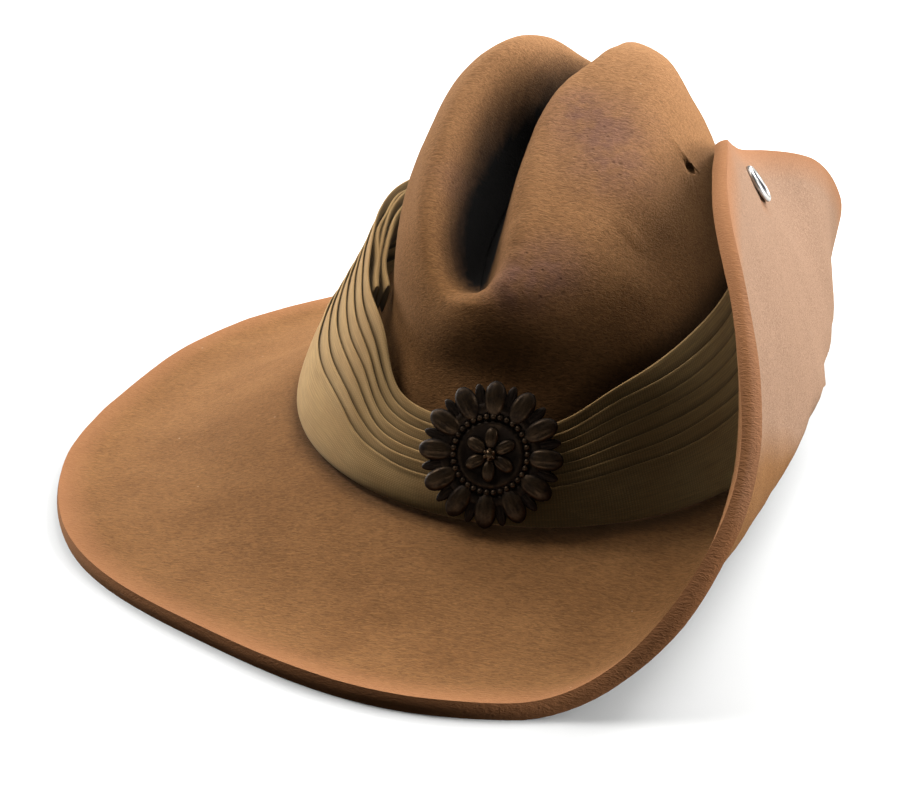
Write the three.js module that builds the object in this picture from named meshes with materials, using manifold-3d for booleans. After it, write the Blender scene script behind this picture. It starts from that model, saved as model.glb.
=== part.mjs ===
// Slouch hat of fur felt: creased crown, wide brim turned up on the wearer's left, pleated
// cloth band round the crown, cast badge on the front and a stud that holds the brim up.
// Millimetres, +Z up. The front looks towards -Y and the wearer's left is +X.
import * as THREE from "three";
import { mergeVertices } from "three/addons/utils/BufferGeometryUtils.js";
import Module from "manifold-3d";

const wasm = await Module();
wasm.setup();

// Felt thickness, the thicker cut edge of the brim, the share of the brim's width where it starts
// and how far the edge bulges, and the clearance between pieces
const WALL = 3;
const RIM_EDGE = 4.8;
const RIM_FROM = 0.8;
const RIM_BULGE = 0.5;
const GAP = 0.4;

// Crown: oval at its foot (half sizes to the middle of the felt), and the oval where its sides
// turn over to the top, with how far that lies below the ridges and how sharply it turns
const HEAD = { left: 81, right: 84, front: 103, back: 103 };
const SHOULDER = { left: 44, right: 44, middle: -3, front: -87, back: 70 };
const SHOULDER_DROP = { left: 15, right: 17, front: 5, back: 12 };
const SHOULDER_TURN = { left: 7, right: 3 };

// Crease along the top: ends of its lowest line, and the width of its two slopes
const SPINE = { front: -72, back: 48 };
const CREASE_SLOPE = { left: 12, right: 24 };

// Seat of the crown: its foot above the surface that the brim lies on, tilt in degrees
const SEAT = { lift: 17.5, pitch: 3, roll: 1.4 };

// Half sizes of the turned-up side's flat oval, and the length of felt over which it stops drooping
const TURNED = { out: 185, front: 192, back: 188, keep: 45 };

// Top of the crown from front to back: height of the wearer's left and right ridges, and depth
// and place of the crease between them
const TOP_ROWS = [
  { y: -94, left: 63, right: 63, depth: 0, x: -10 },
  { y: -84, left: 69, right: 69, depth: 3, x: -11 },
  { y: -72, left: 76, right: 77, depth: 16, x: -13 },
  { y: -55, left: 85, right: 86, depth: 27, x: -16 },
  { y: -28, left: 97, right: 98, depth: 33, x: -18 },
  { y: 0, left: 109, right: 112, depth: 34, x: -14 },
  { y: 25, left: 117, right: 121.5, depth: 28, x: -2 },
  { y: 48, left: 116, right: 121, depth: 14, x: 3 },
  { y: 62, left: 112, right: 116, depth: 8, x: 3 },
  { y: 74, left: 107, right: 110, depth: 2, x: 3 },
];

// Side of the crown from the foot up: share of the height, share of the way out to the head oval
const SIDE_ROWS = [
  { height: 0, spread: 1 },
  { height: 0.07, spread: 0.98 },
  { height: 0.2, spread: 0.86 },
  { height: 0.34, spread: 0.71 },
  { height: 0.5, spread: 0.55 },
  { height: 0.66, spread: 0.41 },
  { height: 0.8, spread: 0.28 },
  { height: 0.92, spread: 0.13 },
  { height: 1, spread: 0 },
];

// Places where the side is fuller than its oval, and dents pressed into it afterwards: angle from
// the front, share of the height, size each way, and how far the felt goes out or in
const FULL_ROWS = [
  { name: "left_front", angle: 48, height: 0.62, wide: 30, tall: 0.3, by: 9 },
];
const DENT_ROWS = [
  { name: "right_pinch", angle: -88, height: 0.55, wide: 48, tall: 0.28, by: -13 },
  { name: "front_hollow", angle: -6, height: 0.66, wide: 34, tall: 0.24, by: -6 },
];
const FOOT_HOLD = 8;

// Rim of the brim before it is turned up: reach from the middle, by the angle from the front
const RIM_ROWS = [
  { angle: -180, reach: 187 },
  { angle: -150, reach: 184 },
  { angle: -120, reach: 177 },
  { angle: -90, reach: 168 },
  { angle: -60, reach: 178 },
  { angle: -42, reach: 185 },
  { angle: -22, reach: 187 },
  { angle: 0, reach: 196 },
  { angle: 20, reach: 189 },
  { angle: 50, reach: 184 },
  { angle: 74, reach: 187 },
  { angle: 86, reach: 191 },
  { angle: 98, reach: 186 },
  { angle: 130, reach: 184 },
  { angle: 180, reach: 187 },
];

// Brim from the crown out: share of its width, share of the crown's lift that is left
const DROOP_ROWS = [
  { out: 0, left: 1 },
  { out: 0.06, left: 0.97 },
  { out: 0.15, left: 0.86 },
  { out: 0.28, left: 0.63 },
  { out: 0.43, left: 0.37 },
  { out: 0.59, left: 0.15 },
  { out: 0.75, left: 0.03 },
  { out: 0.88, left: 0 },
  { out: 1, left: 0 },
];

// Turned-up side from front to back: where the fold starts, its radius, the angle that it
// turns through, and the angle at the rim, both in degrees from level
const TURN_ROWS = [
  { y: -190, fold: 27, radius: 45, rise: 52, lean: 52 },
  { y: -165, fold: 37, radius: 34, rise: 65, lean: 67 },
  { y: -135, fold: 48, radius: 24, rise: 80, lean: 92 },
  { y: -100, fold: 60, radius: 17, rise: 91, lean: 108 },
  { y: -60, fold: 72, radius: 11, rise: 96, lean: 117 },
  { y: -20, fold: 80, radius: 8.5, rise: 99, lean: 122 },
  { y: 20, fold: 84, radius: 8.5, rise: 103, lean: 130 },
  { y: 60, fold: 83.5, radius: 10, rise: 104, lean: 130 },
  { y: 95, fold: 79, radius: 14, rise: 98, lean: 119 },
  { y: 130, fold: 70, radius: 20, rise: 88, lean: 99 },
  { y: 160, fold: 61, radius: 30, rise: 68, lean: 73 },
  { y: 188, fold: 50, radius: 45, rise: 45, lean: 45 },
];

// Cloth band: height of its top edge above the crown's foot, by the angle from the front
const BAND_TOP_ROWS = [
  { angle: -180, z: 57 },
  { angle: -150, z: 60 },
  { angle: -120, z: 66 },
  { angle: -90, z: 66 },
  { angle: -75, z: 61.5 },
  { angle: -62, z: 56 },
  { angle: -52, z: 52 },
  { angle: -44, z: 48 },
  { angle: -38, z: 41 },
  { angle: -32, z: 34.5 },
  { angle: -24, z: 31 },
  { angle: 0, z: 31.2 },
  { angle: 12, z: 32 },
  { angle: 20, z: 36 },
  { angle: 30, z: 42.8 },
  { angle: 42, z: 48.5 },
  { angle: 60, z: 55 },
  { angle: 90, z: 60 },
  { angle: 130, z: 59 },
  { angle: 180, z: 57 },
];

// Folds of the band from the bottom up: share of the height and how far the cloth stands out,
// at the fold's lower and upper edge
const FOLD_ROWS = [
  { name: "hem", from: 0, to: 0.05, foot: 4.2, edge: 6.2 },
  { name: "plain", from: 0.18, to: 0.42, foot: 6.8, edge: 6.2 },
  { name: "pleat_1", from: 0.43, to: 0.53, foot: 5.2, edge: 5.4 },
  { name: "pleat_2", from: 0.54, to: 0.63, foot: 4.4, edge: 4.6 },
  { name: "pleat_3", from: 0.64, to: 0.72, foot: 3.6, edge: 3.8 },
  { name: "pleat_4", from: 0.73, to: 0.81, foot: 2.9, edge: 3.1 },
  { name: "pleat_5", from: 0.82, to: 0.9, foot: 2.2, edge: 2.4 },
  { name: "pleat_6", from: 0.91, to: 1, foot: 1.6, edge: 1.4 },
];
const BAND_LINING_STEPS = [1, 0.78, 0.55, 0.12, 0];
const BAND_SEAT = 3;
const BAND_STAND = 1.25;
const PRESSED = { angle: 85, wide: 50, share: 0.62 };

// Punched vent hole, by the angle from the front and the height above the crown's foot
const VENT = { angle: 88, height: 89.5, diameter: 4.2, reach: 20 };

// Stud through the turned-up side and the crown: its place, dished cap, post and inner head
const STUD = { angle: 95, out: 0.85, through: 12.2, sides: 20 };
const STUD_CAP = { radius: 7.2, depth: 2, lip: 0.9, dish: 1.1, stand: 1 };
const STUD_POST = { radius: 2, headRadius: 3.6, headDepth: 1.6, drill: 60 };

// Cast badge: a rosette of petals round a ring and a small flower, with a plain post behind it.
// Its middle sits at a share of the band's height, off the crown's side and leaning back.
const BADGE = { share: 0.75, off: 6.1, lean: 22, radius: 16, plate: 1.2, sides: 18 };
const BADGE_POST = { radius: 2, length: 0.8, sides: 8 };
const PETALS = { count: 12, radius: 16.4, wide: 3.6, long: 5.8, deep: 1.7, sides: 6, rows: 4 };
const RING = { radius: 11, tube: 1.2, round: 5 };
const FLORETS = { count: 6, radius: 5, wide: 2.4, long: 3.6, deep: 1.7, sides: 6, rows: 4 };
const BOSS = { radius: 2.7, sides: 6, rows: 4 };

// Facets: columns round the hat, crowded towards front and back, sides of a round hole, a small
// step for slopes, and steps out from the crease
const COLUMNS = 64;
const CROWDING = 0.15;
const HOLE_SIDES = 20;
const STEP = 0.01;
const TOP_STEPS = [0, 0.06, 0.12, 0.2, 0.31, 0.44, 0.58, 0.73, 0.88];

const MATERIALS = {
  felt: new THREE.MeshStandardMaterial({ color: 0x6b4a30, roughness: 0.95, metalness: 0 }),
  cloth: new THREE.MeshStandardMaterial({ color: 0x8a7048, roughness: 0.9, metalness: 0 }),
  bronze: new THREE.MeshStandardMaterial({ color: 0x2e241c, roughness: 0.5, metalness: 0.8 }),
  steel: new THREE.MeshStandardMaterial({ color: 0xb9bcc2, roughness: 0.3, metalness: 1 }),
};

const { degToRad, radToDeg, lerp, smoothstep, euclideanModulo } = THREE.MathUtils;

// Smooth curve through two named columns of a table
function curve(rows, across, up) {
  const places = rows.map((row) => row[across]);
  const values = rows.map((row) => row[up]);
  const spline = new THREE.CubicInterpolant(places, values, 1, [0]);
  return (place) => spline.evaluate(place)[0];
}

const ridgeAt = { left: curve(TOP_ROWS, "y", "left"), right: curve(TOP_ROWS, "y", "right") };
const depthAt = curve(TOP_ROWS, "y", "depth");
const creaseAt = curve(TOP_ROWS, "y", "x");
const spreadAt = curve(SIDE_ROWS, "height", "spread");
const droopAt = curve(DROOP_ROWS, "out", "left");
const reachAt = curve(RIM_ROWS, "angle", "reach");
const foldAt = curve(TURN_ROWS, "y", "fold");
const radiusAt = curve(TURN_ROWS, "y", "radius");
const riseAt = curve(TURN_ROWS, "y", "rise");
const leanAt = curve(TURN_ROWS, "y", "lean");
const bandTopAt = curve(BAND_TOP_ROWS, "angle", "z");

// Angle from the front in degrees, from -180 to 180
const degreesOf = (angle) => euclideanModulo(radToDeg(angle) + 180, 360) - 180;
const bell = (distance, wide) => Math.exp(-((distance / wide) ** 2));

// Crown's own frame, with its foot at z = 0, set on the drooping brim
const crownSeat = new THREE.Matrix4()
  .makeTranslation(0, 0, SEAT.lift)
  .multiply(new THREE.Matrix4().makeRotationX(degToRad(SEAT.pitch)))
  .multiply(new THREE.Matrix4().makeRotationY(degToRad(SEAT.roll)));

// Top of the crown, from the lowest line of the crease at share 0 out to the shoulder at share 1
function topPoint(angle, share) {
  const side = Math.sin(angle);
  const ahead = Math.cos(angle);
  const wearers = side > 0 ? "left" : "right";
  const end = ahead > 0 ? "front" : "back";
  const spineY = lerp(SPINE.back, SPINE.front, (1 + ahead) / 2);
  const shoulderY = lerp(SHOULDER.back, SHOULDER.front, (1 + ahead) / 2);
  const fromCrease = share * (SHOULDER.middle + SHOULDER[wearers] * side - creaseAt(spineY));
  const x = creaseAt(spineY) + fromCrease;
  const y = lerp(spineY, shoulderY, share);
  const drop = SHOULDER_DROP[wearers] * side ** 2 + SHOULDER_DROP[end] * ahead ** 2;
  const slope = fromCrease > 0 ? CREASE_SLOPE.left : CREASE_SLOPE.right;
  const upSlope = Math.min(Math.abs(fromCrease) / slope, 1);
  const crease = depthAt(y) * Math.cos((upSlope * Math.PI) / 2) ** 2;
  const leftward = smoothstep(fromCrease, -CREASE_SLOPE.right, CREASE_SLOPE.left);
  const ridge = lerp(ridgeAt.right(y), ridgeAt.left(y), leftward);
  return new THREE.Vector3(x, y, ridge - crease - drop * share ** SHOULDER_TURN[wearers]);
}

// Move a point of the crown's side out or in where the rows of a table say so
function pushed(point, angle, height, rows) {
  const reach = Math.hypot(point.x, point.y);
  const free = 1 - spreadAt(height) ** FOOT_HOLD;
  let by = 0;
  for (const row of rows) {
    by += row.by * free * bell(degreesOf(angle) - row.angle, row.wide) * bell(height - row.height, row.tall);
  }
  point.x += (by * point.x) / reach;
  point.y += (by * point.y) / reach;
  return point;
}

// Side of the crown at a share of its height, before and after it is dented
function blockedPoint(angle, height) {
  const shoulder = topPoint(angle, 1);
  const spread = spreadAt(height);
  const side = Math.sin(angle);
  const ahead = Math.cos(angle);
  const point = new THREE.Vector3(
    lerp(shoulder.x, side * (side > 0 ? HEAD.left : HEAD.right), spread),
    lerp(shoulder.y, -ahead * (ahead > 0 ? HEAD.front : HEAD.back), spread),
    shoulder.z * height,
  );
  return pushed(point, angle, height, FULL_ROWS);
}

function sidePoint(angle, height) {
  return pushed(blockedPoint(angle, height), angle, height, DENT_ROWS);
}

// Profile of the turned-up side after some length of felt past the fold: a tight fold, then
// a slow curve in towards the crown. Gives the step out and the step up.
function turnUp(length, y) {
  const along = y / (y < 0 ? TURNED.front : TURNED.back);
  const full = TURNED.out * Math.sqrt(Math.max(1 - along ** 2, 0)) - foldAt(y);
  const radius = radiusAt(y);
  const rise = degToRad(riseAt(y));
  const folded = Math.min(length, radius * rise);
  const turned = folded / radius;
  const rest = length - folded;
  const lean = degToRad(leanAt(y)) - rise;
  const middle = rise + (lean * rest) / Math.max(full - folded, rest, 1) / 2;
  return {
    out: radius * Math.sin(turned) + rest * Math.cos(middle),
    up: radius * (1 - Math.cos(turned)) + rest * Math.sin(middle),
  };
}

// Brim at a share of the way from the crown's foot to the rim: thickness, and middle of the felt
const brimThickness = (share) => lerp(WALL, RIM_EDGE, smoothstep(share, RIM_FROM, 1));

function brimPoint(angle, share) {
  const foot = sidePoint(angle, 0).applyMatrix4(crownSeat);
  const reach = reachAt(degreesOf(angle));
  const x = lerp(foot.x, reach * Math.sin(angle), share);
  const y = lerp(foot.y, -reach * Math.cos(angle), share);
  const lying = brimThickness(share) / 2;
  const past = x - foldAt(y);
  const lift = (foot.z - lying) * lerp(droopAt(share), 1, smoothstep(past, 0, TURNED.keep));
  if (past <= 0) return new THREE.Vector3(x, y, lying + lift);
  const { out, up } = turnUp(past, y);
  return new THREE.Vector3(x - past + out, y, lying + lift + up);
}

// Rows of the felt from the crease out to the rim, each with its thickness
const feltRows = [
  ...TOP_STEPS.map((share) => ({
    thick: WALL,
    at: (angle) => topPoint(angle, share).applyMatrix4(crownSeat),
  })),
  ...SIDE_ROWS.slice(1).reverse().map(({ height }) => ({
    thick: WALL,
    at: (angle) => sidePoint(angle, height).applyMatrix4(crownSeat),
  })),
  ...DROOP_ROWS.map(({ out }) => ({
    thick: brimThickness(out),
    at: (angle) => brimPoint(angle, out),
  })),
];

const columnAngles = Array.from({ length: COLUMNS }, (_, column) => {
  const even = (column / COLUMNS) * 2 * Math.PI;
  return even - CROWDING * Math.sin(2 * even);
});

// Both faces of the felt, from the crease over the rim to the underside and back up inside.
// The first row runs out along the crease and back, so its columns pair up as mirror images.
function feltShell() {
  const middle = feltRows.map((row) => columnAngles.map(row.at));
  const facing = middle.map((row) => row.map(() => new THREE.Vector3()));
  for (let row = 0; row + 1 < middle.length; row += 1) {
    for (let column = 0; column < COLUMNS; column += 1) {
      const next = (column + 1) % COLUMNS;
      const out = middle[row + 1][next].clone().sub(middle[row][column]);
      const normal = out.cross(middle[row][next].clone().sub(middle[row + 1][column]));
      for (const corner of [column, next]) {
        facing[row][corner].add(normal);
        facing[row + 1][corner].add(normal);
        if (row === 0) facing[0][(COLUMNS - corner) % COLUMNS].add(normal);
      }
    }
  }
  const face = (side) => middle.map((points, row) => points.map((point, column) => {
    const normal = facing[row][column].clone().normalize();
    const moved = point.clone().addScaledVector(normal, (side * feltRows[row].thick) / 2);
    moved.z = Math.max(moved.z, 0);
    return moved;
  }));
  const last = middle.length - 1;
  const edge = middle[last].map((point, column) => {
    const outward = point.clone().sub(middle[last - 1][column]).normalize();
    return point.clone().addScaledVector(outward, RIM_BULGE);
  });
  return [...face(1), edge, ...face(-1).reverse()];
}

// Surface through rows of points, each row a closed loop round the hat. Cells are cut so that
// the cuts lean the same way as the fold of the brim, on both faces of the felt.
function loopGeometry(rows, rim) {
  const count = rows[0].length;
  const corners = [];
  for (let row = 0; row + 1 < rows.length; row += 1) {
    for (let column = 0; column < count; column += 1) {
      const next = (column + 1) % count;
      const [a, b, c, d] = [rows[row][column], rows[row + 1][column], rows[row + 1][next], rows[row][next]];
      const quarter = Math.floor((4 * column) / count);
      const leaning = (quarter % 2 === 0) === row < rim;
      corners.push(...(leaning ? [a, b, d, b, c, d] : [a, b, c, a, c, d]));
    }
  }
  return new THREE.BufferGeometry().setFromPoints(corners);
}

// Solid from a closed geometry, and geometry from a solid
function solidOf(geometry) {
  const bare = geometry.clone();
  bare.deleteAttribute("normal");
  bare.deleteAttribute("uv");
  const merged = mergeVertices(bare);
  return new wasm.Manifold(new wasm.Mesh({
    numProp: 3,
    vertProperties: new Float32Array(merged.attributes.position.array),
    triVerts: new Uint32Array(merged.index.array),
  }));
}

function geometryOf(solid) {
  const { vertProperties, triVerts } = solid.getMesh();
  const geometry = new THREE.BufferGeometry();
  geometry.setAttribute("position", new THREE.Float32BufferAttribute(vertProperties, 3));
  geometry.setIndex(new THREE.Uint32BufferAttribute(triVerts, 1));
  geometry.computeVertexNormals();
  return geometry;
}

// Turn a geometry's Z axis to a direction and move it to a place
function aim(geometry, direction, place) {
  const turned = new THREE.Quaternion().setFromUnitVectors(new THREE.Vector3(0, 0, 1), direction);
  return geometry.applyQuaternion(turned).translate(place.x, place.y, place.z);
}

// Point and level outward direction on the crown's outside at a height above its foot, and
// the place of the band there
function crownFace(angle, z) {
  const at = (turned) => blockedPoint(turned, z / topPoint(turned, 1).z);
  const along = at(angle + STEP).sub(at(angle - STEP));
  return { point: at(angle), outward: new THREE.Vector3(along.y, -along.x, 0).normalize() };
}

function bandPoint(angle, share, standing) {
  const degrees = degreesOf(angle);
  const z = lerp(BAND_SEAT, bandTopAt(degrees), share);
  const pressed = 1 - PRESSED.share * bell(degrees - PRESSED.angle, PRESSED.wide);
  const { point, outward } = crownFace(angle, z);
  return point.addScaledVector(outward, WALL / 2 + BAND_STAND + standing * pressed).applyMatrix4(crownSeat);
}

function bandGeometry() {
  const outside = FOLD_ROWS.flatMap(({ from, to, foot, edge }) => [[from, foot], [to, edge]]);
  const inside = BAND_LINING_STEPS.map((share) => [share, 0]);
  const section = [...outside, ...inside, outside[0]];
  // The section runs up the outside and down the inside
  return loopGeometry(section.reverse().map(([share, standing]) => (
    columnAngles.map((angle) => bandPoint(angle, share, standing)))), section.length);
}

// Stud: cap outside the turned-up side, post through it and through the crown, head inside
const studAngle = degToRad(STUD.angle);
const studPlace = brimPoint(studAngle, STUD.out);
const studAxis = brimPoint(studAngle + STEP, STUD.out).sub(studPlace)
  .cross(brimPoint(studAngle, STUD.out + STEP).sub(studPlace))
  .normalize();

function studGeometry() {
  const under = brimThickness(STUD.out) / 2 + STUD_CAP.stand;
  const over = under + STUD_CAP.depth;
  const profile = [
    [0, -STUD.through - STUD_POST.headDepth],
    [STUD_POST.headRadius, -STUD.through - STUD_POST.headDepth],
    [STUD_POST.headRadius, -STUD.through],
    [STUD_POST.radius, -STUD.through],
    [STUD_POST.radius, under],
    [STUD_CAP.radius, under],
    [STUD_CAP.radius, over - STUD_CAP.lip],
    [STUD_CAP.radius - STUD_CAP.lip, over],
    [STUD_CAP.radius - 2 * STUD_CAP.lip, over],
    [STUD_CAP.radius - 3 * STUD_CAP.lip, over - STUD_CAP.dish],
    [0, over - STUD_CAP.dish / 2],
  ].map(([radius, z]) => new THREE.Vector2(radius, z));
  const geometry = new THREE.LatheGeometry(profile, STUD.sides).rotateX(Math.PI / 2);
  return aim(geometry, studAxis, studPlace);
}

function drill(radius, length, direction, place) {
  const rod = new THREE.CylinderGeometry(radius, radius, length, HOLE_SIDES).rotateX(Math.PI / 2);
  return solidOf(aim(rod, direction, place));
}

function feltGeometry() {
  const ventAngle = degToRad(VENT.angle);
  const vent = crownFace(ventAngle, VENT.height);
  const ventPlace = vent.point.applyMatrix4(crownSeat);
  return geometryOf(
    solidOf(loopGeometry(feltShell(), feltRows.length))
      .subtract(drill(VENT.diameter / 2, VENT.reach, vent.outward, ventPlace))
      .subtract(drill(STUD_POST.radius + GAP, STUD_POST.drill, studAxis, studPlace)),
  );
}

// Badge: made lying on its back at the origin with +Y its top, then stood against the band
function badgeGeometry() {
  const plate = new THREE.CylinderGeometry(BADGE.radius, BADGE.radius, BADGE.plate, BADGE.sides);
  const post = new THREE.CylinderGeometry(BADGE_POST.radius, BADGE_POST.radius, BADGE_POST.length, BADGE_POST.sides);
  const solids = [
    plate.rotateX(Math.PI / 2).translate(0, 0, BADGE.plate / 2),
    post.rotateX(Math.PI / 2).translate(0, 0, -BADGE_POST.length / 2),
    new THREE.TorusGeometry(RING.radius, RING.tube, RING.round, BADGE.sides).translate(0, 0, BADGE.plate),
    new THREE.SphereGeometry(BOSS.radius, BOSS.sides, BOSS.rows).translate(0, 0, BADGE.plate / 2),
  ];
  for (const { count, radius, wide, long, deep, sides, rows } of [PETALS, FLORETS]) {
    for (let index = 0; index < count; index += 1) {
      const leaf = new THREE.SphereGeometry(1, sides, rows).scale(wide, long, deep);
      solids.push(leaf.translate(0, radius, BADGE.plate / 2).rotateZ((index / count) * 2 * Math.PI));
    }
  }
  const badge = geometryOf(wasm.Manifold.union(solids.map(solidOf)));
  const place = bandPoint(0, BADGE.share, BADGE.off);
  return badge.rotateX(Math.PI / 2 - degToRad(BADGE.lean)).translate(place.x, place.y, place.z);
}

const group = new THREE.Group();
function add(name, geometry, material) {
  const mesh = new THREE.Mesh(geometry, material);
  mesh.name = name;
  group.add(mesh);
}
add("felt_body", feltGeometry(), MATERIALS.felt);
add("puggaree", bandGeometry(), MATERIALS.cloth);
add("badge", badgeGeometry(), MATERIALS.bronze);
add("brim_stud", studGeometry(), MATERIALS.steel);

// Middle of the plan at the origin
const middle = new THREE.Box3().setFromObject(group).getCenter(new THREE.Vector3()).setZ(0);
for (const mesh of group.children) mesh.geometry.translate(-middle.x, -middle.y, 0);

export default group;
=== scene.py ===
import math

import bmesh
import bpy
import numpy as np
from mathutils import Euler, Matrix, Vector, noise
from mathutils.bvhtree import BVHTree


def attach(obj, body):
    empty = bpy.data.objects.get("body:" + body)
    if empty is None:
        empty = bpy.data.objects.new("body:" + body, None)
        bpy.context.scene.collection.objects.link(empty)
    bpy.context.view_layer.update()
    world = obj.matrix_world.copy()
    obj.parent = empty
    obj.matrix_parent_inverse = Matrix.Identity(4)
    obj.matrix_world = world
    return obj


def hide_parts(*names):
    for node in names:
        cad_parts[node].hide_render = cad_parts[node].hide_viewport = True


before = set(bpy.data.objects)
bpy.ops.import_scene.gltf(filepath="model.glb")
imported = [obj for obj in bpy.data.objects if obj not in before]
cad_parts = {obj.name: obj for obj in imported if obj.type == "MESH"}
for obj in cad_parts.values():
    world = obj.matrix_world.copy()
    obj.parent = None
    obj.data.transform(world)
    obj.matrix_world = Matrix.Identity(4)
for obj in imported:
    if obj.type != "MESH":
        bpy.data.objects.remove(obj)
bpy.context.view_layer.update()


# Felt body: one hood of fur felt, steamed and blocked to a crown and a wide brim, creased along
# the top and pinched at the sides by hand. The brim is turned up on the wearer's left and its rim
# is a raw cut edge with no binding, so the thickness of the felt shows there.
FELT_SHARP_DEG = 55
FELT_CUT_WIDTH = 0.004
FELT_HOLE_EDGE = 0.002
FELT_TOP = {"middle": 0.037, "half": 0.045, "above": 0.04}  # where sharp edges are folds, in m
FELT_FITS = 3
FELT_SWELLS = [  # wave across in mm, height in mm
    (46, 0.7),
    (17, 0.28),
    (6, 0.08),
]
FELT_REST_HEIGHT = 0.005
FELT_TOP_LIGHT = {"from": 0.075, "to": 0.13}  # heights in m between which painted light makes the crown lighter
FELT_FOLD = {"middle": 0.029, "half": 0.026, "soft": 0.008, "above": 0.06}  # where the crease lies, in m
FELT_SHUT = {"reach": 0.06, "rays": 72, "open": 0.2, "shut": 0.58}  # how shut in felt must be to get painted shade
FELT_BAND_SHADOW = 0.007  # how far the painted shadow along the band reaches, in m
FELT_FLAP = {"from": 0.13, "slope": 0.4, "soft": 0.004}  # where the turned-up side begins, in m
FELT_STAINS = [  # name, place in m, radius in mm, share
    ("ridge", (0.0531, -0.0192, 0.1187), 15, 1.0),
    ("ridge_top", (0.0437, -0.0095, 0.124), 9, 0.6),
    ("ridge_side", (0.0605, -0.036, 0.109), 13, 0.7),
    ("nose_right", (0.0471, -0.0761, 0.0872), 11, 1.0),
    ("nose", (0.0378, -0.0826, 0.0831), 8, 0.8),
    ("left_ridge", (0.0079, -0.0304, 0.0999), 9, 0.6),
]
FELT_DENTS = [  # name, place in m, radius in mm, depth in mm
    ("front_dent", (0.0593, -0.0523, 0.0998), 13, 1.4),
    ("side_dent", (0.0725, -0.0547, 0.0885), 12, 1.3),
    ("full_side", (0.0, -0.074, 0.044), 14, -3.2),
]
FELT_FLAP_WAVES = {"across": 24, "height": 0.8}  # mm


def linear(colour):
    """An sRGB hex colour as linear RGBA."""
    shares = [int(colour[i:i + 2], 16) / 255 for i in (1, 3, 5)]
    return [c / 12.92 if c <= 0.04045 else ((c + 0.055) / 1.055) ** 2.4 for c in shares] + [1]


def add_node(tree, kind, inputs=None, **settings):
    """Adds a node with its settings; each input gets a value or a link from another node's output."""
    made = tree.nodes.new(kind)
    for name, value in settings.items():
        setattr(made, name, value)
    for name, value in (inputs or {}).items():
        if isinstance(value, bpy.types.NodeSocket):
            tree.links.new(value, made.inputs[name])
        else:
            made.inputs[name].default_value = value
    return made


def per_metre(size_mm):
    """The scale of a pattern whose repeat is this many millimetres."""
    return 1000 / size_mm


def merged_copy(name):
    """A bmesh of a CAD node with its corners merged and its triangles paired to quads again."""
    mesh = bmesh.new()
    mesh.from_mesh(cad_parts[name].data)
    bmesh.ops.remove_doubles(mesh, verts=mesh.verts, dist=2e-6)
    bmesh.ops.join_triangles(
        mesh, faces=mesh.faces, angle_face_threshold=math.pi, angle_shape_threshold=math.pi)
    return mesh


def piece_from(mesh, name):
    """A smooth-shaded object made from a bmesh."""
    data = bpy.data.meshes.new(name)
    mesh.to_mesh(data)
    mesh.free()
    data.shade_smooth()
    piece = bpy.data.objects.new(name, data)
    bpy.context.scene.collection.objects.link(piece)
    return piece


felt_mesh = merged_copy("felt_body")
crease = felt_mesh.edges.layers.float.new("crease_edge")
cut = felt_mesh.verts.layers.float.new("cut")
for edge in felt_mesh.edges:
    middle = (edge.verts[0].co + edge.verts[1].co) / 2
    on_top = middle.z > FELT_TOP["above"] and abs(middle.x - FELT_TOP["middle"]) < FELT_TOP["half"]
    if edge.calc_face_angle(0) > math.radians(FELT_SHARP_DEG) and not on_top:
        edge[crease] = 1
        edge.smooth = False
        for face in edge.link_faces:
            if face.calc_area() / edge.calc_length() < FELT_CUT_WIDTH and edge.calc_length() > FELT_HOLE_EDGE:
                for vert in face.verts:
                    vert[cut] = 1
felt_walls = BVHTree.FromBMesh(felt_mesh)
felt = piece_from(felt_mesh, "felt_hat")
felt.modifiers.new("rounding", "SUBSURF").levels = 2
corners = np.array([vert.co for vert in felt.data.vertices])
held = corners.copy()
for step in range(FELT_FITS + 1):
    smooth_felt = bpy.data.meshes.new_from_object(
        felt.evaluated_get(bpy.context.evaluated_depsgraph_get()))
    if step < FELT_FITS:
        held += corners - np.array([vert.co for vert in smooth_felt.vertices[:len(corners)]])
        felt.data.vertices.foreach_set("co", held.ravel())
        felt.data.update()
felt.modifiers.clear()
felt.data = smooth_felt

places = np.array([vert.co for vert in smooth_felt.vertices])
outwards = np.array([vert.normal for vert in smooth_felt.vertices])
lift = np.array([sum(
    height * noise.noise(Vector(place) * per_metre(across)) for across, height in FELT_SWELLS)
    for place in places])
for name, centre, radius, depth in FELT_DENTS:
    lift -= depth * np.exp(-(np.linalg.norm(places - centre, axis=1) * 1000 / radius) ** 2)
flap_off = places[:, 0] + FELT_FLAP["slope"] * places[:, 2] - FELT_FLAP["from"]
flap = np.clip(flap_off / FELT_FLAP["soft"], 0, 1) * np.clip(outwards[:, 0] * 6, 0, 1)
rim = np.array([mark.value for mark in smooth_felt.attributes["cut"].data])
lift += flap * (1 - rim) * FELT_FLAP_WAVES["height"] * np.array([
    noise.noise(Vector(place) * Vector((1, 1, 0.4)) * per_metre(FELT_FLAP_WAVES["across"])) for place in places])
lift *= np.clip(places[:, 2] / FELT_REST_HEIGHT, 0, 1)
smooth_felt.vertices.foreach_set("co", (places + outwards * lift[:, None] / 1000).ravel())


def shut_in(place, outward):
    """The share of rays out of a place on the felt that meet felt again."""
    met = 0
    for index in range(FELT_SHUT["rays"]):
        up, round_by = (index + 0.5) / FELT_SHUT["rays"], index * math.pi * (3 - math.sqrt(5))
        ray = Vector((math.cos(round_by), math.sin(round_by), 0)) * math.sqrt(1 - up ** 2) + Vector((0, 0, up))
        ray.rotate(outward.to_track_quat("Z", "Y"))
        met += felt_walls.ray_cast(place + outward * 0.002, ray, FELT_SHUT["reach"])[0] is not None
    return met / FELT_SHUT["rays"]


# Painted shade: felt in the crease that is shut in by other felt is coloured nearly black.
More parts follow.
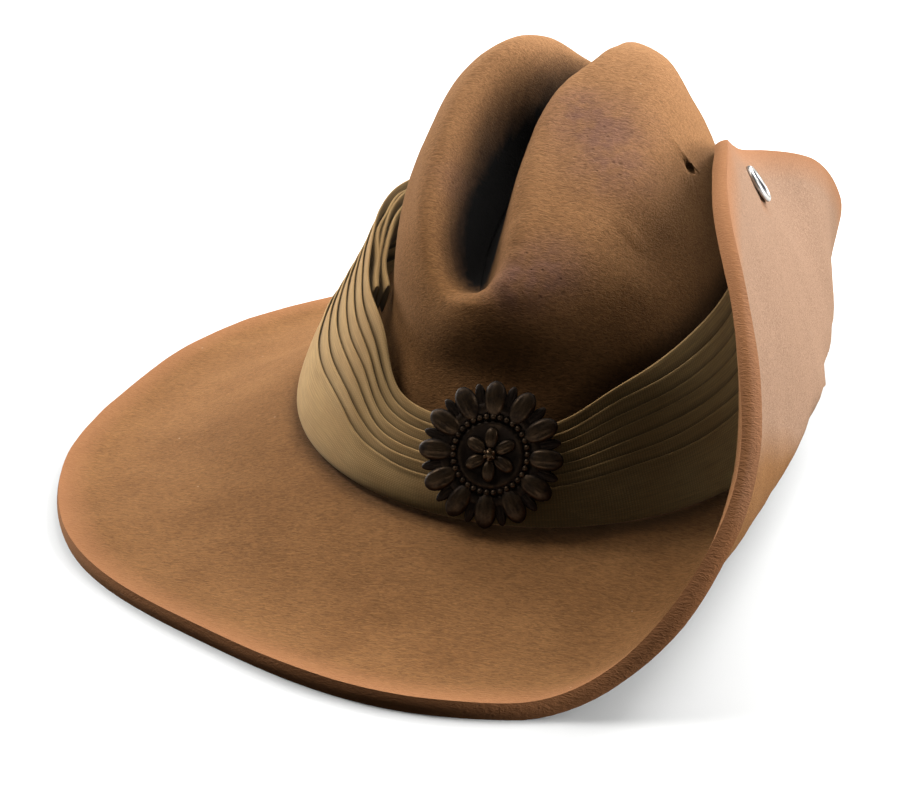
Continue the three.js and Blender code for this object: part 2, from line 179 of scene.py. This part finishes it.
in_fold = np.clip((FELT_FOLD["half"] - np.abs(places[:, 0] - FELT_FOLD["middle"])) / FELT_FOLD["soft"], 0, 1)
in_fold *= np.clip((places[:, 2] - FELT_FOLD["above"]) / FELT_FOLD["soft"], 0, 1)
folded = np.array([shut_in(Vector(place), Vector(outward)) if share else 0
                   for place, outward, share in zip(places, outwards, in_fold)])
folded = in_fold * np.clip((folded - FELT_SHUT["open"]) / (FELT_SHUT["shut"] - FELT_SHUT["open"]), 0, 1)
band_copy = merged_copy("puggaree")
band_walls = BVHTree.FromBMesh(band_copy)
band_copy.free()
# Painted shadow: the felt is darkened close to the band.
band_shadow = 1 - np.array([band_walls.find_nearest(Vector(place))[3] for place in places]) / FELT_BAND_SHADOW
stained = np.zeros(len(places))
for name, centre, radius, share in FELT_STAINS:
    stained += share * np.exp(-(np.linalg.norm(places - centre, axis=1) * 1000 / radius) ** 2)
felt_marks = {
    "pale": flap,
    "painted_top_light": np.clip((places[:, 2] - FELT_TOP_LIGHT["from"]) / (FELT_TOP_LIGHT["to"] - FELT_TOP_LIGHT["from"]), 0, 1),
    "stained": np.clip(stained, 0, 1),
    "folded": np.maximum(folded, np.clip(band_shadow, 0, 1) * 0.85),
}
for name, shares in felt_marks.items():
    smooth_felt.attributes.new(name, "FLOAT", "POINT").data.foreach_set("value", shares)

# Fur felt: matt, with a short nap that catches light at the edges, soft clouds of wear, painted light
# that makes the upper crown lighter, painted shade in the crease, painted shadow along the band, old
# greyish stains with small pits, a raw cut edge and a few pale specks of lint. The nap is drawn coarser than real.
fur_felt = bpy.data.materials.new("fur_felt")
fur_felt.use_nodes = True
tree = fur_felt.node_tree
tree.nodes.clear()
where = add_node(tree, "ShaderNodeTexCoord").outputs["Object"]
marks = {name: add_node(tree, "ShaderNodeAttribute", attribute_name=name).outputs["Fac"]
         for name in ("pale", "painted_top_light", "stained", "folded", "cut")}
clouds = add_node(tree, "ShaderNodeTexNoise", {
    "Vector": where, "Scale": per_metre(28), "Detail": 5.0, "Roughness": 0.6}).outputs["Fac"]
cloud_share = add_node(tree, "ShaderNodeMapRange", {
    "Value": clouds, "From Min": 0.3, "From Max": 0.7}).outputs["Result"]
felt_brown = add_node(tree, "ShaderNodeMix", {
    0: cloud_share, 6: linear("#7e5632"), 7: linear("#90653d")}, data_type="RGBA").outputs[2]
# Painted light: the crown is made lighter towards its top.
top_light_part = add_node(tree, "ShaderNodeMath", {0: marks["painted_top_light"], 1: 0.8}, operation="MULTIPLY").outputs[0]
with_top_light = add_node(tree, "ShaderNodeMix", {
    0: top_light_part, 6: felt_brown, 7: linear("#a3764f")}, data_type="RGBA").outputs[2]
with_pale = add_node(tree, "ShaderNodeMix", {
    0: marks["pale"], 6: with_top_light, 7: linear("#9d7e68")}, data_type="RGBA").outputs[2]
blots = add_node(tree, "ShaderNodeTexNoise", {
    "Vector": where, "Scale": per_metre(7), "Detail": 4.0, "Roughness": 0.6}).outputs["Fac"]
blot_share = add_node(tree, "ShaderNodeMapRange", {
    "Value": blots, "From Min": 0.3, "From Max": 0.6, "To Min": 0.25, "To Max": 0.8}).outputs["Result"]
stain_part = add_node(tree, "ShaderNodeMath", {0: marks["stained"], 1: blot_share}, operation="MULTIPLY").outputs[0]
with_stain = add_node(tree, "ShaderNodeMix", {
    0: stain_part, 6: with_pale, 7: linear("#79564a")}, data_type="RGBA").outputs[2]
# Painted shade in the crease and painted shadow along the band: the felt turns near-black.
with_painted_shade = add_node(tree, "ShaderNodeMix", {
    0: marks["folded"], 6: with_stain, 7: linear("#0e0b08")}, data_type="RGBA").outputs[2]
cut_part = add_node(tree, "ShaderNodeMath", {0: marks["cut"], 1: 0.8}, operation="MULTIPLY").outputs[0]
with_cut = add_node(tree, "ShaderNodeMix", {
    0: cut_part, 6: with_painted_shade, 7: linear("#a8724c")}, data_type="RGBA").outputs[2]
hairs = []
for lie in ((0.2, 0.9, 0.5), (1.4, 0.3, 2.1)):
    run = add_node(tree, "ShaderNodeMapping", {
        "Vector": where, "Rotation": lie, "Scale": (per_metre(2.2), per_metre(0.7), per_metre(0.7))})
    hairs.append(add_node(tree, "ShaderNodeTexNoise", {
        "Vector": run.outputs["Vector"], "Scale": 1.0, "Detail": 2.0, "Roughness": 0.6,
        "Distortion": 0.8}).outputs["Fac"])
nap = add_node(tree, "ShaderNodeMath", {0: hairs[0], 1: hairs[1]}, operation="MAXIMUM").outputs[0]
nap_share = add_node(tree, "ShaderNodeMapRange", {
    "Value": nap, "From Min": 0.4, "From Max": 0.72, "To Min": 0.7, "To Max": 1.3}).outputs["Result"]
nap_shown = add_node(tree, "ShaderNodeMix", {0: cut_part, 2: nap_share, 3: 1.0}).outputs[0]
napped = add_node(tree, "ShaderNodeMix", {
    0: 1.0, 6: with_cut, 7: nap_shown}, data_type="RGBA", blend_type="MULTIPLY").outputs[2]
lint_cells = add_node(tree, "ShaderNodeTexVoronoi", {
    "Vector": where, "Scale": per_metre(11), "Randomness": 1.0})
lint_near = add_node(tree, "ShaderNodeMath", {
    0: lint_cells.outputs["Distance"], 1: 0.035}, operation="LESS_THAN").outputs[0]
lint_kept = add_node(tree, "ShaderNodeSeparateColor", {"Color": lint_cells.outputs["Color"]}).outputs[0]
lint_some = add_node(tree, "ShaderNodeMath", {0: lint_kept, 1: 0.6}, operation="GREATER_THAN").outputs[0]
lint = add_node(tree, "ShaderNodeMath", {0: lint_near, 1: lint_some}, operation="MULTIPLY").outputs[0]
lint_part = add_node(tree, "ShaderNodeMath", {0: lint, 1: 0.5}, operation="MULTIPLY").outputs[0]
with_lint = add_node(tree, "ShaderNodeMix", {
    0: lint_part, 6: napped, 7: linear("#c9ad8c")}, data_type="RGBA").outputs[2]
pit_cells = add_node(tree, "ShaderNodeTexVoronoi", {
    "Vector": where, "Scale": per_metre(3.6), "Randomness": 1.0})
pit_size = add_node(tree, "ShaderNodeSeparateColor", {"Color": pit_cells.outputs["Color"]}).outputs[1]
pit_edge = add_node(tree, "ShaderNodeMath", {0: pit_size, 1: 0.3}, operation="MULTIPLY").outputs[0]
pit_near = add_node(tree, "ShaderNodeMapRange", {
    "Value": pit_cells.outputs["Distance"], "From Min": pit_edge, "From Max": 0.0}).outputs["Result"]
pits = add_node(tree, "ShaderNodeMath", {0: pit_near, 1: marks["stained"]}, operation="MULTIPLY").outputs[0]
pit_part = add_node(tree, "ShaderNodeMath", {0: pits, 1: 0.5}, operation="MULTIPLY").outputs[0]
felt_colour = add_node(tree, "ShaderNodeMix", {
    0: pit_part, 6: with_lint, 7: linear("#33231b")}, data_type="RGBA").outputs[2]
felt_height = add_node(tree, "ShaderNodeMath", {0: nap, 1: pits}, operation="SUBTRACT").outputs[0]
felt_bump = add_node(tree, "ShaderNodeBump", {"Strength": 0.5, "Distance": 0.0008, "Height": felt_height})
sheen_part = add_node(tree, "ShaderNodeMapRange", {
    "Value": marks["folded"], "To Min": 0.3, "To Max": 0.0}).outputs["Result"]
felt_shader = add_node(tree, "ShaderNodeBsdfPrincipled", {
    "Base Color": felt_colour, "Roughness": 0.95, "Specular IOR Level": 0.1,
    "Sheen Weight": sheen_part, "Sheen Roughness": 0.4, "Sheen Tint": linear("#d8a878"),
    "Normal": felt_bump.outputs["Normal"]})
add_node(tree, "ShaderNodeOutputMaterial", {"Surface": felt_shader.outputs["BSDF"]})
felt.data.materials.clear()
felt.data.materials.append(fur_felt)
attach(felt, "root")
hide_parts("felt_body")


# Puggaree: a long strip of khaki cotton wound round the crown, its lower part plain with a turned
# hem and its upper part laid in six pleats, each tucked behind the folded edge of the one below.
# It is held by hand stitches at the overlap, which don't show.
BAND_COLUMNS = 192
BAND_CLOTH = 0.4
BAND_LINING_SHARES = [0, 0.12, 0.55, 0.78, 1]
BAND_TOP_STAND = 1.4
BAND_HEM = [  # share of the band's height, mm off the crown
    (0.13, 1.9),
    (0.04, 2.2),
    (-0.005, 3.2),
    (-0.01, 4.6),
    (0.02, 5.9),
    (0.09, 6.6),
    (0.2, 6.9),
    (0.31, 6.7),
]
BAND_PLEATS = [  # share of the band's height at the folded edge, mm off the crown
    (0.43, 6.2),
    (0.53, 5.4),
    (0.625, 4.6),
    (0.72, 3.8),
    (0.81, 3.05),
    (0.905, 2.3),
]
PLEAT_FOLD = [  # from the folded edge: share of the height, mm off the crown, share of painted shade
    (-0.055, 0.0, 0.0),
    (-0.012, 0.45, 0.0),
    (0.003, 0.2, 0.0),
    (-0.012, -0.05, 0.6),
    (-0.06, -0.35, 1.0),
    (-0.066, -0.5, 1.0),
    (-0.045, -0.65, 1.0),
]
BAND_TOP = [  # share of the band's height, mm off the crown
    (0.95, 1.55),
    (0.99, 1.6),
    (1.0, 1.2),
    (0.985, 0.85),
    (0.9, 0.75),
]
PLEAT_WANDER = {"share": 0.014, "stand": 0.35, "turns": 3.0}
BAND_RUCK = {"stand": 0.7, "turns": 4.5, "rise": 2.2}
TUCKED_FOLDS = [  # name, columns from and to, mm off the crown at its front and back end, width in mm
    ("outer", 82, 110, -0.9, -0.2, 1.8),
    ("middle", 82, 110, -3.1, -1.2, 1.7),
    ("inner", 80, 110, -6.9, -3.0, 2.0),
]
TUCKED_SECTION = [  # share of the band's height below the folded edge, share of the fold's width, share of painted shade
    (0.22, 0.0, 1.0),
    (0.06, 0.0, 0.7),
    (0.015, 0.15, 0.1),
    (0.0, 0.5, 0.0),
    (0.015, 0.85, 0.1),
    (0.06, 1.0, 0.7),
    (0.22, 1.0, 1.0),
]
TUCKED_WAVE = {"stand": 1.5, "columns": 5.0}
TUCKED_SINK = {"columns": 12, "depth": 0.009}  # the back end runs down behind the band, in m


def band_sections(mesh):
    """The band's cross-sections in order round the hat, each from the lining's foot round the outside."""
    def section(edge):
        vert = min(edge.verts, key=lambda end: end.co.z)
        places, first = [], edge
        while True:
            places.append(tuple(vert.co))
            edge = next(e for e in vert.link_edges if not set(e.link_faces) & set(edge.link_faces))
            if edge == first:
                return places
            vert = edge.other_vert(vert)
    first = edge = max(mesh.edges, key=lambda e: abs(e.verts[0].co.z - e.verts[1].co.z))
    face, sections = edge.link_faces[0], []
    while not sections or edge != first:
        sections.append(section(edge))
        edge = next(e for e in face.edges if not set(e.verts) & set(edge.verts))
        face = next(f for f in edge.link_faces if f != face)
    return np.array(sections)


def round_the_hat(ring):
    """A value for each cross-section of the CAD band, drawn smoothly through the columns of cloth."""
    at = np.arange(BAND_COLUMNS) * len(ring) / BAND_COLUMNS
    low, part = np.floor(at).astype(int), (at % 1)[:, None]
    a, b, c, d = (ring[(low + step) % len(ring)] for step in (-1, 0, 1, 2))
    return b + part / 2 * (c - a + part * (2 * a - 5 * b + 4 * c - d + part * (3 * (b - c) + d - a)))


band_copy = merged_copy("puggaree")
sections = band_sections(band_copy)
band_copy.free()
sections = np.roll(sections, -int(np.argmax(sections[:, 0, 0])), axis=0)
lining = sections[:, [1, 0, -1, -2, -3]].transpose(1, 0, 2)
crown_wall = [round_the_hat(term.reshape(-1, 3))
              for term in np.polyfit(BAND_LINING_SHARES, lining.reshape(5, -1), 3)]
off_crown = round_the_hat((sections[:, -4] - sections[:, -3]) / BAND_TOP_STAND)


def band_ring(share, stand, fold):
    """Places round the hat at a share of the band's height and mm off the crown, with a fold's wander."""
    turn = np.arange(BAND_COLUMNS) * 2 * math.pi / BAND_COLUMNS
    wander = np.array([noise.noise_vector(Vector((
        math.cos(t) * PLEAT_WANDER["turns"], math.sin(t) * PLEAT_WANDER["turns"], fold * 5.3))) for t in turn])
    ruck = np.array([[noise.noise(Vector((
        math.cos(t + share) * BAND_RUCK["turns"], math.sin(t + share) * BAND_RUCK["turns"],
        share * BAND_RUCK["rise"])))] for t in turn])
    shares = share + (PLEAT_WANDER["share"] * wander[:, :1] if fold else 0)
    stands = stand + (PLEAT_WANDER["stand"] * wander[:, 1:2] if fold else 0)
    stands = stands + BAND_RUCK["stand"] * ruck * min(1, max(0, share * 5))
    a, b, c, d = crown_wall
    return ((a * shares + b) * shares + c) * shares + d + off_crown * stands


def lay_cloth(mesh, rows, fold_shades):
    """Adds a grid of cloth through rows of places, with its flat place as UV and each row's share of painted shade."""
    down, along = rows.shape[0] - 1, rows.shape[1] - 1
    run = np.concatenate([[0], np.cumsum(np.linalg.norm(np.diff(rows[0], axis=0), axis=1))])
    fall = np.concatenate([[0], np.cumsum(np.linalg.norm(np.diff(rows, axis=0), axis=2).mean(axis=1))])
    for vert in bmesh.ops.create_grid(mesh, x_segments=along, y_segments=down, size=0.5)["verts"]:
        column, row = round((vert.co.x + 0.5) * along), round((vert.co.y + 0.5) * down)
        for corner in vert.link_loops:
            corner[flat_cloth].uv = (run[column], fall[row])
        vert.co = rows[row, column]
        vert[painted_fold_shade] = fold_shades[row]
    return run[-1], fall[-1]


band_rows = [(share, stand, 0) for share, stand in BAND_HEM]
band_fold_shades = [0.0] * len(BAND_HEM)
for fold, (edge_share, edge_stand) in enumerate(BAND_PLEATS, start=1):
    band_rows += [(edge_share + share, edge_stand + stand, fold) for share, stand, fold_shade in PLEAT_FOLD]
    band_fold_shades += [fold_shade for share, stand, fold_shade in PLEAT_FOLD]
band_rows += [(share, stand, len(BAND_PLEATS) + 1) for share, stand in BAND_TOP]
band_fold_shades += [0.0] * len(BAND_TOP)
cloth_mesh = bmesh.new()
flat_cloth = cloth_mesh.loops.layers.uv.new("flat_cloth")
painted_fold_shade = cloth_mesh.verts.layers.float.new("painted_fold_shade")
rings = np.array([band_ring(*row) for row in band_rows])
band_round, band_across = lay_cloth(
    cloth_mesh, np.concatenate([rings, rings[:, :1]], axis=1), band_fold_shades)

# the strip's tucked end: loose folds between the band and the crown on the wearer's right
for tuck, (name, first, last, front, back, wide) in enumerate(TUCKED_FOLDS, start=1):
    columns = np.arange(BAND_COLUMNS)
    wave = np.array([noise.noise(Vector((c / TUCKED_WAVE["columns"], tuck * 3.7, 0.5))) for c in columns])
    edge = front + (back - front) * np.clip((columns - first) / (last - first), 0, 1) + TUCKED_WAVE["stand"] * wave
    sink = np.clip(1 - (columns - first) / TUCKED_SINK["columns"], 0, 1) ** 2 * TUCKED_SINK["depth"]
    lay_cloth(cloth_mesh, np.array([
        (band_ring(1 - down, (edge - across * wide)[:, None], 0) - sink[:, None] * (0, 0, 1))[first:last + 1]
        for down, across, fold_shade in TUCKED_SECTION]), [fold_shade for down, across, fold_shade in TUCKED_SECTION])
bmesh.ops.remove_doubles(cloth_mesh, verts=cloth_mesh.verts, dist=1e-6)
bmesh.ops.recalc_face_normals(cloth_mesh, faces=cloth_mesh.faces)
puggaree = piece_from(cloth_mesh, "puggaree_cloth")
cloth_wall = puggaree.modifiers.new("cloth", "SOLIDIFY")
cloth_wall.thickness = BAND_CLOTH / 1000
cloth_wall.offset = 0
rounding = puggaree.modifiers.new("rounding", "SUBSURF")
rounding.levels = rounding.render_levels = 1

# Khaki cotton: a matt plain weave with slubs along the threads, and painted shade under each folded
# edge and inside the tucked folds. The weave is drawn at twice the real thread spacing so that it shows.
khaki_cotton = bpy.data.materials.new("khaki_cotton")
khaki_cotton.use_nodes = True
tree = khaki_cotton.node_tree
tree.nodes.clear()
flat = add_node(tree, "ShaderNodeUVMap", uv_map="flat_cloth").outputs["UV"]
threads = [add_node(tree, "ShaderNodeTexWave", {
    "Vector": flat, "Scale": per_metre(0.9) * 0.05 * 2 * math.pi, "Distortion": 0.6, "Detail": 1.0},
    bands_direction=direction).outputs["Fac"] for direction in ("X", "Y")]
weave = add_node(tree, "ShaderNodeMath", {0: threads[0], 1: threads[1]}, operation="MULTIPLY").outputs[0]
slub_run = add_node(tree, "ShaderNodeMapping", {"Vector": flat, "Scale": (per_metre(14), per_metre(0.8), 1)})
slubs = add_node(tree, "ShaderNodeTexNoise", {
    "Vector": slub_run.outputs["Vector"], "Scale": 1.0, "Detail": 3.0, "Roughness": 0.6}).outputs["Fac"]
where = add_node(tree, "ShaderNodeTexCoord").outputs["Object"]
fade = add_node(tree, "ShaderNodeTexNoise", {
    "Vector": where, "Scale": per_metre(24), "Detail": 3.0, "Roughness": 0.5}).outputs["Fac"]
fade_share = add_node(tree, "ShaderNodeMapRange", {"Value": fade, "From Min": 0.3, "From Max": 0.7}).outputs["Result"]
khaki = add_node(tree, "ShaderNodeMix", {
    0: fade_share, 6: linear("#b88f59"), 7: linear("#c6a069")}, data_type="RGBA").outputs[2]
slub_share = add_node(tree, "ShaderNodeMapRange", {
    "Value": slubs, "From Min": 0.3, "From Max": 0.7, "To Min": 0.86, "To Max": 1.12}).outputs["Result"]
slubbed = add_node(tree, "ShaderNodeMix", {
    0: 1.0, 6: khaki, 7: slub_share}, data_type="RGBA", blend_type="MULTIPLY").outputs[2]
weave_share = add_node(tree, "ShaderNodeMapRange", {"Value": weave, "To Min": 0.86, "To Max": 1.08}).outputs["Result"]
woven = add_node(tree, "ShaderNodeMix", {
    0: 1.0, 6: slubbed, 7: weave_share}, data_type="RGBA", blend_type="MULTIPLY").outputs[2]
# Painted shade: the cloth is darkened under each folded edge and inside the tucked folds.
fold_shade = add_node(tree, "ShaderNodeAttribute", attribute_name="painted_fold_shade").outputs["Fac"]
fold_shade_part = add_node(tree, "ShaderNodeMath", {0: fold_shade, 1: 0.9}, operation="MULTIPLY").outputs[0]
cloth_colour = add_node(tree, "ShaderNodeMix", {
    0: fold_shade_part, 6: woven, 7: linear("#2c2013")}, data_type="RGBA").outputs[2]
cloth_bump = add_node(tree, "ShaderNodeBump", {"Strength": 0.3, "Distance": 0.0003, "Height": weave})
cloth_shader = add_node(tree, "ShaderNodeBsdfPrincipled", {
    "Base Color": cloth_colour, "Roughness": 0.92, "Specular IOR Level": 0.3,
    "Sheen Weight": 0.15, "Sheen Roughness": 0.5, "Sheen Tint": linear("#d8c09a"),
    "Normal": cloth_bump.outputs["Normal"]})
add_node(tree, "ShaderNodeOutputMaterial", {"Surface": cloth_shader.outputs["BSDF"]})
puggaree.data.materials.append(khaki_cotton)
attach(puggaree, "root")
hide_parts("puggaree")


# Badge: a cast bronze rosette, oxidised nearly black, on a short post through the band. Twelve
# ribbed petals stand round a dished plate with a beaded ring and a small six-petalled flower.
BADGE_PLACE = Matrix.Translation((0.03607, -0.10319, 0.03604)) @ Matrix.Rotation(math.radians(68), 4, "X")
BADGE_PLATE = [  # radius in mm, height in mm
    (0.0, 0.0),
    (15.0, 0.0),
    (15.8, 0.4),
    (15.8, 1.0),
    (15.2, 1.5),
    (13.6, 1.7),
    (12.8, 1.5),
    (12.5, 1.2),
    (10.2, 1.2),
    (9.8, 1.7),
    (9.2, 1.9),
    (8.6, 1.5),
    (6.0, 1.3),
    (0.0, 1.3),
]
BADGE_POST = {"radius": 2.0, "length": 0.8}
BADGE_LEAVES = [  # name, count, first at degrees, radius in mm, half width, half length, half depth, height in mm
    ("sepal", 12, 15, 17.2, 1.7, 4.4, 1.1, 0.5),
    ("petal", 12, 0, 16.6, 3.5, 5.6, 1.9, 0.9),
    ("floret", 6, 0, 4.9, 2.2, 3.4, 1.5, 1.4),
]
BADGE_BEADS = [  # name, count, radius in mm, bead radius in mm, height in mm
    ("ring", 34, 11.35, 0.98, 1.4),
    ("stamen", 6, 1.5, 0.5, 3.1),
    ("boss", 1, 0.0, 1.9, 1.6),
]
LEAF_RIBS = {"depth": 0.22, "count": 3, "midrib": 0.35}


def spun(mesh, profile, steps):
    """Turns a profile of radius and height, in mm, into a closed round solid; returns its corners."""
    corners = [mesh.verts.new((radius / 1000, 0, height / 1000)) for radius, height in profile]
    edges = [mesh.edges.new(pair) for pair in zip(corners, corners[1:])]
    turned = bmesh.ops.spin(
        mesh, geom=corners + edges, cent=(0, 0, 0), axis=(0, 0, 1), angle=2 * math.pi,
        steps=steps, use_merge=True)
    return corners, turned


badge_mesh = bmesh.new()
spun(badge_mesh, BADGE_PLATE, 96)
bmesh.ops.remove_doubles(badge_mesh, verts=badge_mesh.verts, dist=2e-6)
post = bmesh.ops.create_cone(
    badge_mesh, cap_ends=True, segments=24, radius1=BADGE_POST["radius"] / 1000,
    radius2=BADGE_POST["radius"] / 1000, depth=BADGE_POST["length"] / 1000)
bmesh.ops.translate(badge_mesh, verts=post["verts"], vec=(0, 0, -BADGE_POST["length"] / 2000))
for name, count, first, radius, wide, long, deep, height in BADGE_LEAVES:
    for index in range(count):
        leaf = bmesh.ops.create_uvsphere(badge_mesh, u_segments=28, v_segments=18, radius=1)["verts"]
        for vert in leaf:
            x, y, z = vert.co
            taper = 1 - 0.25 * max(0, -y) ** 2
            ribs = LEAF_RIBS["depth"] * math.cos(math.pi * LEAF_RIBS["count"] * x) - LEAF_RIBS["midrib"] * math.exp(-(x / 0.12) ** 2)
            vert.co = (x * wide * taper, y * long, z * deep + (ribs * max(0, z) * min(1, deep) if z > 0 else 0))
        turned = Matrix.Rotation(math.radians(first) + index / count * 2 * math.pi, 4, "Z")
        bmesh.ops.transform(
            badge_mesh, verts=leaf,
            matrix=turned @ Matrix.Translation((0, radius / 1000, height / 1000)) @ Matrix.Scale(0.001, 4))
for name, count, radius, bead, height in BADGE_BEADS:
    for index in range(count):
        turned = Matrix.Rotation(index / count * 2 * math.pi, 4, "Z")
        bmesh.ops.create_icosphere(
            badge_mesh, subdivisions=2, radius=bead / 1000,
            matrix=turned @ Matrix.Translation((0, radius / 1000, height / 1000)))
relief = badge_mesh.verts.layers.float.new("relief")
for vert in badge_mesh.verts:
    vert[relief] = min(1, max(0, vert.co.z * 1000 / 3))
bmesh.ops.recalc_face_normals(badge_mesh, faces=badge_mesh.faces)
bmesh.ops.transform(badge_mesh, verts=badge_mesh.verts, matrix=BADGE_PLACE)
badge = piece_from(badge_mesh, "rosette_badge")

# Oxidised bronze: a dark brown skin over the metal, rubbed brighter on the raised parts.
oxidised_bronze = bpy.data.materials.new("oxidised_bronze")
oxidised_bronze.use_nodes = True
tree = oxidised_bronze.node_tree
tree.nodes.clear()
where = add_node(tree, "ShaderNodeTexCoord").outputs["Object"]
patches = add_node(tree, "ShaderNodeTexNoise", {
    "Vector": where, "Scale": per_metre(3), "Detail": 4.0, "Roughness": 0.65}).outputs["Fac"]
raised = add_node(tree, "ShaderNodeAttribute", attribute_name="relief").outputs["Fac"]
rub = add_node(tree, "ShaderNodeMath", {0: raised, 1: patches}, operation="MULTIPLY").outputs[0]
rub_share = add_node(tree, "ShaderNodeMapRange", {"Value": rub, "From Min": 0.25, "From Max": 0.6}).outputs["Result"]
bronze_colour = add_node(tree, "ShaderNodeMix", {
    0: rub_share, 6: linear("#241b14"), 7: linear("#5a4631")}, data_type="RGBA").outputs[2]
bronze_rough = add_node(tree, "ShaderNodeMapRange", {
    "Value": rub_share, "To Min": 0.55, "To Max": 0.34}).outputs["Result"]
bronze_bump = add_node(tree, "ShaderNodeBump", {"Strength": 0.2, "Distance": 0.0002, "Height": patches})
bronze_shader = add_node(tree, "ShaderNodeBsdfPrincipled", {
    "Base Color": bronze_colour, "Metallic": 0.85, "Roughness": bronze_rough,
    "Normal": bronze_bump.outputs["Normal"]})
add_node(tree, "ShaderNodeOutputMaterial", {"Surface": bronze_shader.outputs["BSDF"]})
badge.data.materials.append(oxidised_bronze)
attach(badge, "root")
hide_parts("badge")


# Brim stud: a pressed nickel snap cap with a rolled rim and a dished, darkened centre, on a post
# through the turned-up brim and the side of the crown, with a flat head inside.
STUD_AXIS = Vector((0.81543, 0.06448, 0.57526))
STUD_PLACE = Matrix.Translation((0.099784, 0.019726, 0.091873)) @ STUD_AXIS.to_track_quat("Z", "Y").to_matrix().to_4x4()
STUD_PROFILE = [  # radius in mm, height in mm
    (0.0, -13.8),
    (3.2, -13.8),
    (3.6, -13.4),
    (3.6, -12.5),
    (3.3, -12.2),
    (2.0, -12.2),
    (2.0, 2.64),
    (6.6, 2.64),
    (7.1, 2.94),
    (7.2, 3.5),
    (7.0, 4.1),
    (6.5, 4.5),
    (5.9, 4.64),
    (5.4, 4.4),
    (5.1, 3.9),
    (4.8, 3.6),
    (3.2, 3.7),
    (2.4, 4.0),
    (1.2, 4.1),
    (0.0, 4.1),
]
stud_mesh = bmesh.new()
spun(stud_mesh, STUD_PROFILE, 64)
bmesh.ops.remove_doubles(stud_mesh, verts=stud_mesh.verts, dist=2e-6)
bmesh.ops.recalc_face_normals(stud_mesh, faces=stud_mesh.faces)
dished = stud_mesh.verts.layers.float.new("dished")
for vert in stud_mesh.verts:
    vert[dished] = 1 if vert.co.z > 0 and vert.co.xy.length < 0.0052 else 0
bmesh.ops.transform(stud_mesh, verts=stud_mesh.verts, matrix=STUD_PLACE)
stud = piece_from(stud_mesh, "snap_stud")

# Worn nickel: plated steel, dulled, with blue-grey tarnish left in the dish.
worn_nickel = bpy.data.materials.new("worn_nickel")
worn_nickel.use_nodes = True
tree = worn_nickel.node_tree
tree.nodes.clear()
where = add_node(tree, "ShaderNodeTexCoord").outputs["Object"]
scuffs = add_node(tree, "ShaderNodeTexNoise", {
    "Vector": where, "Scale": per_metre(1.5), "Detail": 4.0, "Roughness": 0.7}).outputs["Fac"]
bright = add_node(tree, "ShaderNodeMix", {
    0: scuffs, 6: linear("#8d8b88"), 7: linear("#cfcdc8")}, data_type="RGBA").outputs[2]
dish_share = add_node(tree, "ShaderNodeAttribute", attribute_name="dished").outputs["Fac"]
nickel_colour = add_node(tree, "ShaderNodeMix", {
    0: dish_share, 6: bright, 7: linear("#20252d")}, data_type="RGBA").outputs[2]
nickel_rough = add_node(tree, "ShaderNodeMapRange", {
    "Value": scuffs, "To Min": 0.28, "To Max": 0.5}).outputs["Result"]
nickel_shader = add_node(tree, "ShaderNodeBsdfPrincipled", {
    "Base Color": nickel_colour, "Metallic": 1.0, "Roughness": nickel_rough})
add_node(tree, "ShaderNodeOutputMaterial", {"Surface": nickel_shader.outputs["BSDF"]})
stud.data.materials.append(worn_nickel)
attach(stud, "root")
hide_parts("brim_stud")


# Studio: a plain pale floor under the brim, and soft lamps to the left, to the right and behind,
# so that the front of the crown stays in shade.
FLOOR_HALF = 4.0
floor_mesh = bmesh.new()
bmesh.ops.create_grid(floor_mesh, x_segments=8, y_segments=8, size=FLOOR_HALF)
floor = piece_from(floor_mesh, "floor")
pale_floor = bpy.data.materials.new("pale_floor")
pale_floor.use_nodes = True
pale_floor.node_tree.nodes["Principled BSDF"].inputs["Base Color"].default_value = linear("#ebebea")
pale_floor.node_tree.nodes["Principled BSDF"].inputs["Roughness"].default_value = 0.9
floor.data.materials.append(pale_floor)
for lit in (felt, puggaree, floor):
    lit.visible_diffuse = False  # no light is bounced, so that shade stays as deep as in the photograph

LAMPS = [  # name, degrees round from the front to the wearer's left, degrees up, watts
    ("right", 90, 12, 22),
    ("right_high", 90, 35, 9),
    ("right_behind", 150, 35, 28),
    ("behind", 180, 60, 11),
    ("left_behind", 240, 12, 22),
    ("left_high", 264, 54, 17),
]
LAMP_FAR = 1.6
LAMP_SIZE = 0.7
LAMPS_AIM = Vector((0, 0, 0.05))
for name, round_deg, up_deg, watts in LAMPS:
    lamp_data = bpy.data.lights.new(name, "AREA")
    lamp_data.size = LAMP_SIZE
    lamp_data.energy = watts
    lamp = bpy.data.objects.new(name, lamp_data)
    aim = Vector((0, -1, 0))
    aim.rotate(Euler((-math.radians(up_deg), 0, math.radians(round_deg))))
    lamp.location = LAMPS_AIM + aim * LAMP_FAR
    lamp.rotation_euler = aim.to_track_quat("Z", "Y").to_euler()
    bpy.context.scene.collection.objects.link(lamp)
room = bpy.data.worlds.new("room")
room.use_nodes = True
room.node_tree.nodes["Background"].inputs["Color"].default_value = (1, 1, 1, 1)
room.node_tree.nodes["Background"].inputs["Strength"].default_value = 0.028
bpy.context.scene.world = room
bpy.context.scene.view_settings.view_transform = "Standard"

# Camera: at the photograph's angle, a little to the wearer's left of the front and above the brim.
CAMERA_PLACE = (0.133374, -0.541365, 0.225656)
CAMERA_DEG = {"down": 20.77, "roll": 0.1, "turn": 14.05}
CAMERA_LENS = 1628.2 / 900 * 36
camera_data = bpy.data.cameras.new("camera")
camera_data.sensor_width = 36
camera_data.lens = CAMERA_LENS
camera_data.clip_start = 0.01
camera = bpy.data.objects.new("camera", camera_data)
camera.location = CAMERA_PLACE
camera.rotation_euler = (
    math.radians(90 - CAMERA_DEG["down"]), math.radians(CAMERA_DEG["roll"]), math.radians(CAMERA_DEG["turn"]))
bpy.context.scene.collection.objects.link(camera)
bpy.context.scene.camera = camera
